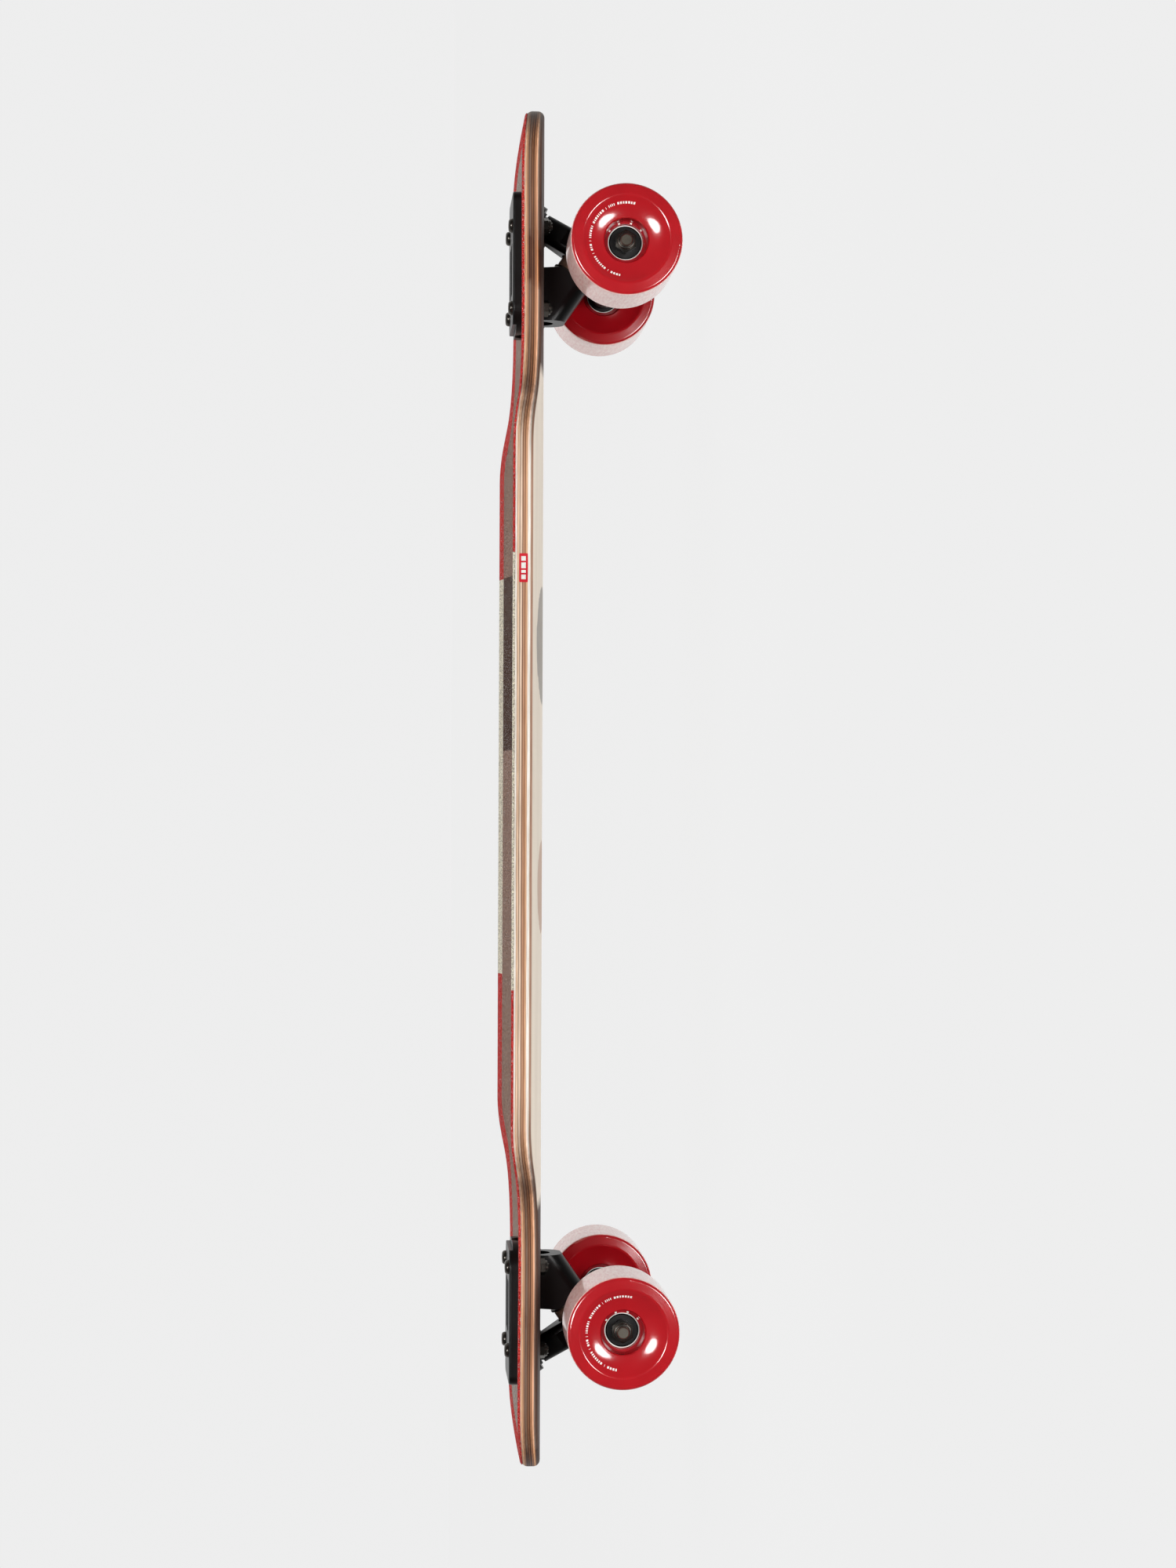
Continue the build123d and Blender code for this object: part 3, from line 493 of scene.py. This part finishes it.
def prism(outline, low, high):
    """A cutter: an outline in x and y between two heights."""
    count = len(outline)
    points = [(x, y, low) for x, y in outline] + [(x, y, high) for x, y in outline]
    faces = [tuple(range(count))[::-1], tuple(range(count, 2 * count))]
    faces += [(i, (i + 1) % count, (i + 1) % count + count, i + count) for i in range(count)]
    mesh = bpy.data.meshes.new("cutter")
    mesh.from_pydata(points, [], faces)
    made = bpy.data.objects.new("cutter", mesh)
    bpy.context.scene.collection.objects.link(made)
    tidy_mesh(mesh)
    return made


def circle_outline(x, y, radius, count=32):
    angles = [2 * pi * k / count for k in range(count)]
    return [(x + radius * cos(angle), y + radius * sin(angle)) for angle in angles]


def rounded_rectangle(centre_x, half_x, half_y, corner, steps=6):
    points = []
    for quarter, (sx, sy) in enumerate(((1, 1), (-1, 1), (-1, -1), (1, -1))):
        for k in range(steps + 1):
            angle = (quarter + k / steps) * pi / 2
            points.append((centre_x + sx * (half_x - corner) + corner * cos(angle),
                           sy * (half_y - corner) + corner * sin(angle)))
    return points


# ---- Deck and grip tape ----

def clamped_spline(points, steps):
    """Points on a smooth curve through the given ones, along the x axis at both ends."""
    knots = np.array(points)
    gaps = np.hypot(*np.diff(knots, axis=0).T)
    at = np.concatenate([[0], np.cumsum(gaps)])
    count = len(knots)
    curve = []
    for axis, slope in ((0, 1.0), (1, 0.0)):
        values = knots[:, axis]
        matrix, right = np.zeros((count, count)), np.zeros(count)
        matrix[0, :2] = (2 * gaps[0], gaps[0])
        right[0] = 6 * ((values[1] - values[0]) / gaps[0] - slope)
        matrix[-1, -2:] = (gaps[-1], 2 * gaps[-1])
        right[-1] = 6 * (slope - (values[-1] - values[-2]) / gaps[-1])
        for i in range(1, count - 1):
            matrix[i, i - 1:i + 2] = (gaps[i - 1], 2 * (gaps[i - 1] + gaps[i]), gaps[i])
            ahead, behind = values[i + 1] - values[i], values[i] - values[i - 1]
            right[i] = 6 * (ahead / gaps[i] - behind / gaps[i - 1])
        bend = np.linalg.solve(matrix, right)
        sample = np.linspace(0, at[-1], steps + 1)
        i = np.clip(np.searchsorted(at, sample, side="right") - 1, 0, count - 2)
        left, rest, gap = sample - at[i], at[i + 1] - sample, gaps[i]
        curve.append((bend[i] * rest ** 3 + bend[i + 1] * left ** 3) / (6 * gap)
                     + (values[i] / gap - bend[i] * gap / 6) * rest
                     + (values[i + 1] / gap - bend[i + 1] * gap / 6) * left)
    return np.array(curve).T


def left_rail():
    """Points and outward normals of the deck's outline on the +Y side, from tail tip to nose tip."""
    start = (STRAIGHT_RAIL_X, HALF_WIDTH)
    waist = [(x * MM, y * MM) for x, y in WAIST]
    bend = clamped_spline([start, *waist, (TIP_START_X, TIP_HALF_WIDTH)], 110)
    angles = np.linspace(pi / 2, 0, 57)[1:]
    tip_length = HALF_LENGTH - TIP_START_X
    tip = np.array([(TIP_START_X + tip_length * cos(a), TIP_HALF_WIDTH * sin(a)) for a in angles])
    straight = np.array([(x, HALF_WIDTH) for x in np.linspace(0, STRAIGHT_RAIL_X, 40)])
    nose = np.concatenate([straight, bend[1:], tip])
    outline = np.concatenate([nose[::-1] * (-1, 1), nose[1:]])
    along = np.gradient(outline, axis=0)
    along[0], along[-1] = (0, 1), (0, -1)
    along /= np.hypot(*along.T)[:, None]
    return outline, np.stack([-along[:, 1], along[:, 0]], axis=1)


def concave_height(y, share):
    """z on the board, this far above its curved underside."""
    return CONCAVE_CENTRE_Z - np.sqrt((CONCAVE_RADIUS - share) ** 2 - y ** 2)


def board_layer(name, edge, materials, columns=28):
    """A layer of the board. Its edge is a list of (inset, height) from its lower to its upper face.
    A second material, if there is one, covers the edge and leaves the flat faces to the first."""
    outline, normals = left_rail()
    stations = len(outline)
    points, rings = [], []
    for inset, height in edge:
        ring = outline - normals * inset
        ring[:, 1] = np.maximum(ring[:, 1], 0)
        ring[0, 1] = ring[-1, 1] = 0
        for side in (1, -1):
            start = len(points)
            points += [(x, side * y, concave_height(y, height)) for x, y in ring]
            rings.append(start)
    faces = []
    for low in range(len(edge) - 1):
        for side in (0, 1):
            first, second = rings[2 * low + side], rings[2 * low + 2 + side]
            faces += [(first + i, first + i + 1, second + i + 1, second + i)
                      for i in range(stations - 1)]
    edge_faces = len(faces)
    across = np.linspace(1, -1, columns + 1)
    for level in (0, len(edge) - 1):
        ring = np.array(points[rings[2 * level]:rings[2 * level] + stations])
        height = edge[level][1]
        start = len(points)
        for x, y, _ in ring:
            points += [(x, y * share, concave_height(y * share, height)) for share in across]
        row = columns + 1
        corners = [start + i * row + j for i in range(stations - 1) for j in range(columns)]
        faces += [(k, k + 1, k + row + 1, k + row) for k in corners]
    slots = [0 if k >= edge_faces else len(materials) - 1 for k in range(len(faces))]
    return mesh_object(name, points, faces, materials, slots)


RAIL_ROUNDING = 4.2 * MM
GRIP_BAND = 16.0 * MM           # width of the printed band along the rail
GRIP_UNDER_INSETS = (4.2, 3.0, 2.2, 1.6)      # mm in from the rail, on the grip's lower face
GRIP_EDGE = ((1.25, 11.25), (1.2, 11.6), (1.7, 12.25), (2.6, 12.72))     # its rim's insets and heights


def rail_drop(inset):
    """How far the rounded rail falls away from a face at this inset."""
    to_centre = max(0.0, RAIL_ROUNDING - inset)
    return RAIL_ROUNDING - sqrt(RAIL_ROUNDING ** 2 - to_centre ** 2)


def truck_cutters(end, seats):
    """Cutters for one truck's cutout and bolt holes, with or without the seats for its nuts."""
    middle, half = (CUTOUT_INNER_X + CUTOUT_OUTER_X) / 2, (CUTOUT_OUTER_X - CUTOUT_INNER_X) / 2
    opening = rounded_rectangle(end * (AXLE_X + middle), half, CUTOUT_HALF_WIDTH, CUTOUT_CORNER)
    cutters = [prism(opening, CUT_LOW, CUT_HIGH)]
    for bx, by in ((1, 1), (1, -1), (-1, 1), (-1, -1)):
        place = (end * AXLE_X + bx * BOLT_SPACING_X / 2, by * BOLT_SPACING_Y / 2)
        cutters.append(prism(circle_outline(*place, BOLT_HOLE_RADIUS), CUT_LOW, CUT_HIGH))
        if seats:
            cutters.append(prism(circle_outline(*place, NUT_SEAT_RADIUS), SEAT_CUT_LOW, NUT_SEAT_Z))
    return cutters


def make_board(materials):
    """The deck with rounded rails, and the grip tape that wraps over its upper edge."""
    arc = [k * pi / 2 / 7 for k in range(8)]
    lower = [(RAIL_ROUNDING * (1 - sin(a)), RAIL_ROUNDING * (1 - cos(a))) for a in arc]
    upper = [(inset, DECK_THICKNESS - height) for inset, height in lower[::-1]]
    deck = board_layer("deck_board", lower + upper, [materials["maple_deck"]])
    under = [GRIP_BAND, *(inset * MM for inset in GRIP_UNDER_INSETS)]
    edge = [(inset, DECK_THICKNESS - rail_drop(inset)) for inset in under]
    edge += [(inset * MM, height * MM) for inset, height in GRIP_EDGE]
    edge += [(inset, DECK_THICKNESS + GRIP_THICKNESS) for inset in (4.0 * MM, GRIP_BAND)]
    grip = board_layer("grip_sheet", edge, [materials["grip_tape"], materials["grip_band"]])
    for piece in (deck, grip):
        cut(piece, [*truck_cutters(1, piece is deck), *truck_cutters(-1, piece is deck)])
        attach(piece, "root")
    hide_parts("deck")
    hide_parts("grip_tape")


# ---- Materials on the CAD nodes ----

def dress_nodes(materials):
    """Gives every CAD node that stays its material."""
    slots = {part["node"]: part["material_slot"] for part in frame["record"]["subparts"]}
    for name, node in frame["nodes"].items():
        node.data.materials.clear()
        node.data.materials.append(materials[slots[name]])


def make_materials():
    return {
        "grip_tape": grip_material(),
        "grip_band": grip_band_material(),
        "maple_deck": deck_material(),
        "red_urethane": tyre_material(),
        "core_plastic": moulded_material("core_plastic", (150, 16, 24), 0.2),
        "cast_black": cast_material("cast_black", (5, 4, 4), 0.26, 0.40, 0.12),
        "black_hardware": cast_material("black_hardware", (84, 80, 75), 0.20, 0.30, 0.05, 1.0),
        "pivot_plastic": moulded_material("pivot_plastic", (22, 22, 22), 0.5),
        "bushing_urethane": moulded_material("bushing_urethane", (120, 92, 76), 0.4),
        "zinc_steel": metal_material("zinc_steel", (104, 98, 88), 0.30, 0.05),
        "bearing_steel": metal_material("bearing_steel", (206, 204, 200), 0.45, 0.04, sealed=True),
        "bearing_shield": moulded_material("bearing_shield", (6, 5, 5), 0.3),
        "badge": moulded_material("badge", (206, 24, 38), 0.25, 0.05),
        "white_print": print_material(),
    }


# ---- Printed marks ----

DISH_CENTRE_DEPTH, DISH_CENTRE_RADIUS, DISH_ARC = -22.36 * MM, 11.21 * MM, 27.55 * MM
PRINT_RADIUS, PRINT_HEIGHT, PRINT_THICKNESS = 22.9 * MM, 1.35 * MM, 0.05 * MM
PRINT_START, PRINT_GAP = 77.0, 1.6                  # degrees round the axle, from the road side
PRINT_WORDS = (7, 4, 0, 7, 6, 0, 3, 0, 7, 0, 4)      # marks in each group, 0 for a divider
PRINT_WORD_GAP, MARK_WIDTHS, DIVIDER_WIDTH = 3.0, (1.3, 2.1, 2.9), 0.6     # degrees
TICK_RADIUS, TICK_DEPTH, TICK_ANGLES = 12.1 * MM, 12.0 * MM, (38.0, 74.0, 110.0, 146.0)
TICK_HEIGHT, TICK_HALF_ANGLE = 0.9 * MM, 3.0


def dish_depth(radius):
    """How far the dish lies below the wheel's outer face."""
    return DISH_CENTRE_DEPTH + sqrt(DISH_ARC ** 2 - (radius - DISH_CENTRE_RADIUS) ** 2)


def print_bar(points, faces, place, start, end, low, high, depth):
    """A thin raised bar between two angles and two radii, as points given by place()."""
    rows, columns = 3, 3
    first = len(points)
    for lift in (-PRINT_THICKNESS, PRINT_THICKNESS):
        for i in range(rows):
            radius = low + (high - low) * i / (rows - 1)
            for j in range(columns):
                angle = radians(start + (end - start) * j / (columns - 1))
                points.append(place(angle, radius, depth(radius) - lift))
    layer = rows * columns
    for i in range(rows - 1):
        for j in range(columns - 1):
            a = first + i * columns + j
            faces.append((a, a + 1, a + columns + 1, a + columns))
            faces.append((a + layer, a + layer + columns, a + layer + columns + 1, a + layer + 1))
    ring = [0, 1, 2, 5, 8, 7, 6, 3]
    for a, b in zip(ring, ring[1:] + ring[:1]):
        faces.append((first + a, first + a + layer, first + b + layer, first + b))


def add_wheel_print(end, side, ink):
    """Plain marks round the dish and small ticks on the core, in place of the wheel's lettering."""
    rng = np.random.default_rng(7)
    mirror, hand = ENDS[end], SIDES[side]

    def place(angle, radius, depth):
        x, z = mirror * AXLE_X + radius * sin(angle), AXLE_Z - radius * cos(angle)
        return (x, hand * (WHEEL_OUTER_Y - depth), z)

    points, faces = [], []
    angle = PRINT_START
    for count in PRINT_WORDS:
        widths = rng.choice(MARK_WIDTHS, count) if count else (DIVIDER_WIDTH,)
        for width in widths:
            print_bar(points, faces, place, angle, angle + width, PRINT_RADIUS - PRINT_HEIGHT / 2,
                      PRINT_RADIUS + PRINT_HEIGHT / 2, dish_depth)
            angle += width + PRINT_GAP
        angle += PRINT_WORD_GAP
    for tick in TICK_ANGLES:
        low, high = TICK_RADIUS - TICK_HEIGHT / 2, TICK_RADIUS + TICK_HEIGHT / 2
        print_bar(points, faces, place, tick - TICK_HALF_ANGLE, tick + TICK_HALF_ANGLE, low, high,
                  lambda radius: TICK_DEPTH)
    marks = mesh_object(f"{end}_{side}_wheel_print", points, faces, [ink])
    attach(marks, f"{end}_{side}_wheel")


BADGE_LOW, BADGE_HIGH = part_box("rail_badge")
BADGE_BARS = ((0.10, 0.26), (0.32, 0.42), (0.48, 0.68), (0.74, 0.90))    # shares of its length
BADGE_BAR_HEIGHT = (0.24, 0.76)                     # shares of its height
BADGE_BAR_PROUD, BADGE_BAR_SUNK = 0.05 * MM, 0.1 * MM


def add_badge_bars(ink):
    """Plain white bars in place of the badge's lettering."""
    length, height = BADGE_HIGH[0] - BADGE_LOW[0], BADGE_HIGH[2] - BADGE_LOW[2]
    low, high = (BADGE_LOW[2] + share * height for share in BADGE_BAR_HEIGHT)
    front, back = BADGE_LOW[1] - BADGE_BAR_PROUD, BADGE_LOW[1] + BADGE_BAR_SUNK
    points, faces = [], []
    for start, end in BADGE_BARS:
        x0, x1 = BADGE_LOW[0] + start * length, BADGE_LOW[0] + end * length
        k = len(points)
        corners = ((x0, low), (x1, low), (x1, high), (x0, high))
        points += [(x, y, z) for y in (front, back) for x, z in corners]
        faces += [(k, k + 1, k + 2, k + 3), (k + 7, k + 6, k + 5, k + 4)]
        faces += [(k + i, k + 4 + i, k + 4 + (i + 1) % 4, k + (i + 1) % 4) for i in range(4)]
    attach(mesh_object("badge_bars", points, faces, [ink]), "root")


# ---- Studio ----

FLOOR_SIZE = 14.0
FLOOR_Z = -0.025              # clear of the wheels that dip when a truck steers
BACKGROUND = 0.853            # what the camera sees behind the board and on the floor
FLOOR_GLOW = 0.84             # the floor's own light, which keeps it even
DARK_SIDE, PALE_SIDE = 0.10, 0.75     # surroundings: dim behind the camera, pale behind the board


def add_floor():
    """Pale paper. Only the camera sees it, and only from above, so the lower boxes light the board."""
    mesh = bpy.data.meshes.new("floor")
    half = FLOOR_SIZE / 2
    corners = [(x * half, y * half, FLOOR_Z) for x, y in ((-1, -1), (1, -1), (1, 1), (-1, 1))]
    mesh.from_pydata(corners, [], [(0, 1, 2, 3)])
    floor = bpy.data.objects.new("floor", mesh)
    bpy.context.scene.collection.objects.link(floor)
    s = Shader("floor_paper", Roughness=0.9, Specular_IOR_Level=0.0, Emission_Color=(1, 1, 1, 1),
               Emission_Strength=FLOOR_GLOW)
    mottle = s.between(s.noise(3.0), 0.3, 0.7)
    s.colour(s.mix(mottle, (0.018, 0.018, 0.018, 1), (0.022, 0.022, 0.022, 1)))
    clear, pick = s.node("ShaderNodeBsdfTransparent"), s.node("ShaderNodeMixShader")
    s.link(s.node("ShaderNodeNewGeometry").outputs["Backfacing"], pick.inputs[0])
    s.link(s.surface.outputs[0], pick.inputs[1])
    s.link(clear.outputs[0], pick.inputs[2])
    s.link(pick.outputs[0], s.tree.nodes["Material Output"].inputs["Surface"])
    mesh.materials.append(s.material)
    floor.visible_diffuse = floor.visible_glossy = False
    floor.visible_shadow = floor.visible_transmission = False


WHEEL_BEAM = 60.0             # keeps a wheel's own softboxes off the wheels at the other end


def add_softbox(name, place, target, size, power, beam=None):
    """A light with a narrow beam, in degrees, shows in gloss, and one without only fills."""
    data = bpy.data.lights.new(name, "AREA")
    data.shape = "ELLIPSE" if beam else "RECTANGLE"
    data.size, data.size_y = size
    data.energy = power
    if beam:
        data.spread = radians(beam)
    light = bpy.data.objects.new(name, data)
    bpy.context.scene.collection.objects.link(light)
    direction = Vector(target) - Vector(place)
    turn = direction.to_track_quat("-Z", "Y").to_matrix().to_4x4()
    light.matrix_world = Matrix.Translation(place) @ turn
    light.visible_camera = False
    light.visible_glossy = beam is not None


def add_world():
    """Even for the camera; for the light it is dim on the camera's side and pale behind the board."""
    world = bpy.data.worlds.new("studio")
    world.use_nodes = True
    bpy.context.scene.world = world
    tree = world.node_tree
    split = tree.nodes.new("ShaderNodeSeparateXYZ")
    tree.links.new(tree.nodes.new("ShaderNodeTexCoord").outputs["Generated"], split.inputs[0])
    side = tree.nodes.new("ShaderNodeMapRange")
    tree.links.new(split.outputs[1], side.inputs[0])
    for socket, value in zip(side.inputs[1:5], (-0.3, 0.5, DARK_SIDE, PALE_SIDE)):
        socket.default_value = value
    pick = tree.nodes.new("ShaderNodeMix")
    tree.links.new(tree.nodes.new("ShaderNodeLightPath").outputs["Is Camera Ray"], pick.inputs[0])
    tree.links.new(side.outputs[0], pick.inputs[2])
    pick.inputs[3].default_value = BACKGROUND
    tree.links.new(pick.outputs[0], tree.nodes["Background"].inputs[1])
    tree.nodes["Background"].inputs[0].default_value = (1, 1, 1, 1)


def add_studio():
    add_world()
    add_floor()
    for end, sign in ENDS.items():
        wheel = (sign * AXLE_X, -WHEEL_OUTER_Y, AXLE_Z)
        add_softbox(f"{end}_upper_box", (sign * 0.28, -0.94, 0.43), wheel, (0.26, 0.36), 0.5, WHEEL_BEAM)
        add_softbox(f"{end}_lower_box", (sign * 0.25, -0.93, -0.35), wheel, (0.24, 0.34), 0.4, WHEEL_BEAM)
    add_softbox("front", (0, -1.9, 0.5), (0, 0, 0.06), (1.8, 0.5), 4)
    add_softbox("overhead", (0.2, -0.3, 1.6), (0, 0, 0.06), (1.6, 1.0), 10)
    add_softbox("underneath", (-0.2, -0.4, -1.4), (0, 0, 0.06), (1.6, 1.0), 12)
    bpy.context.scene.view_settings.view_transform = "Standard"


materials = make_materials()
add_camera()
add_studio()
dress_nodes(materials)
make_board(materials)
for end in ENDS:
    for side in SIDES:
        add_wheel_print(end, side, materials["white_print"])
add_badge_bars(materials["white_print"])
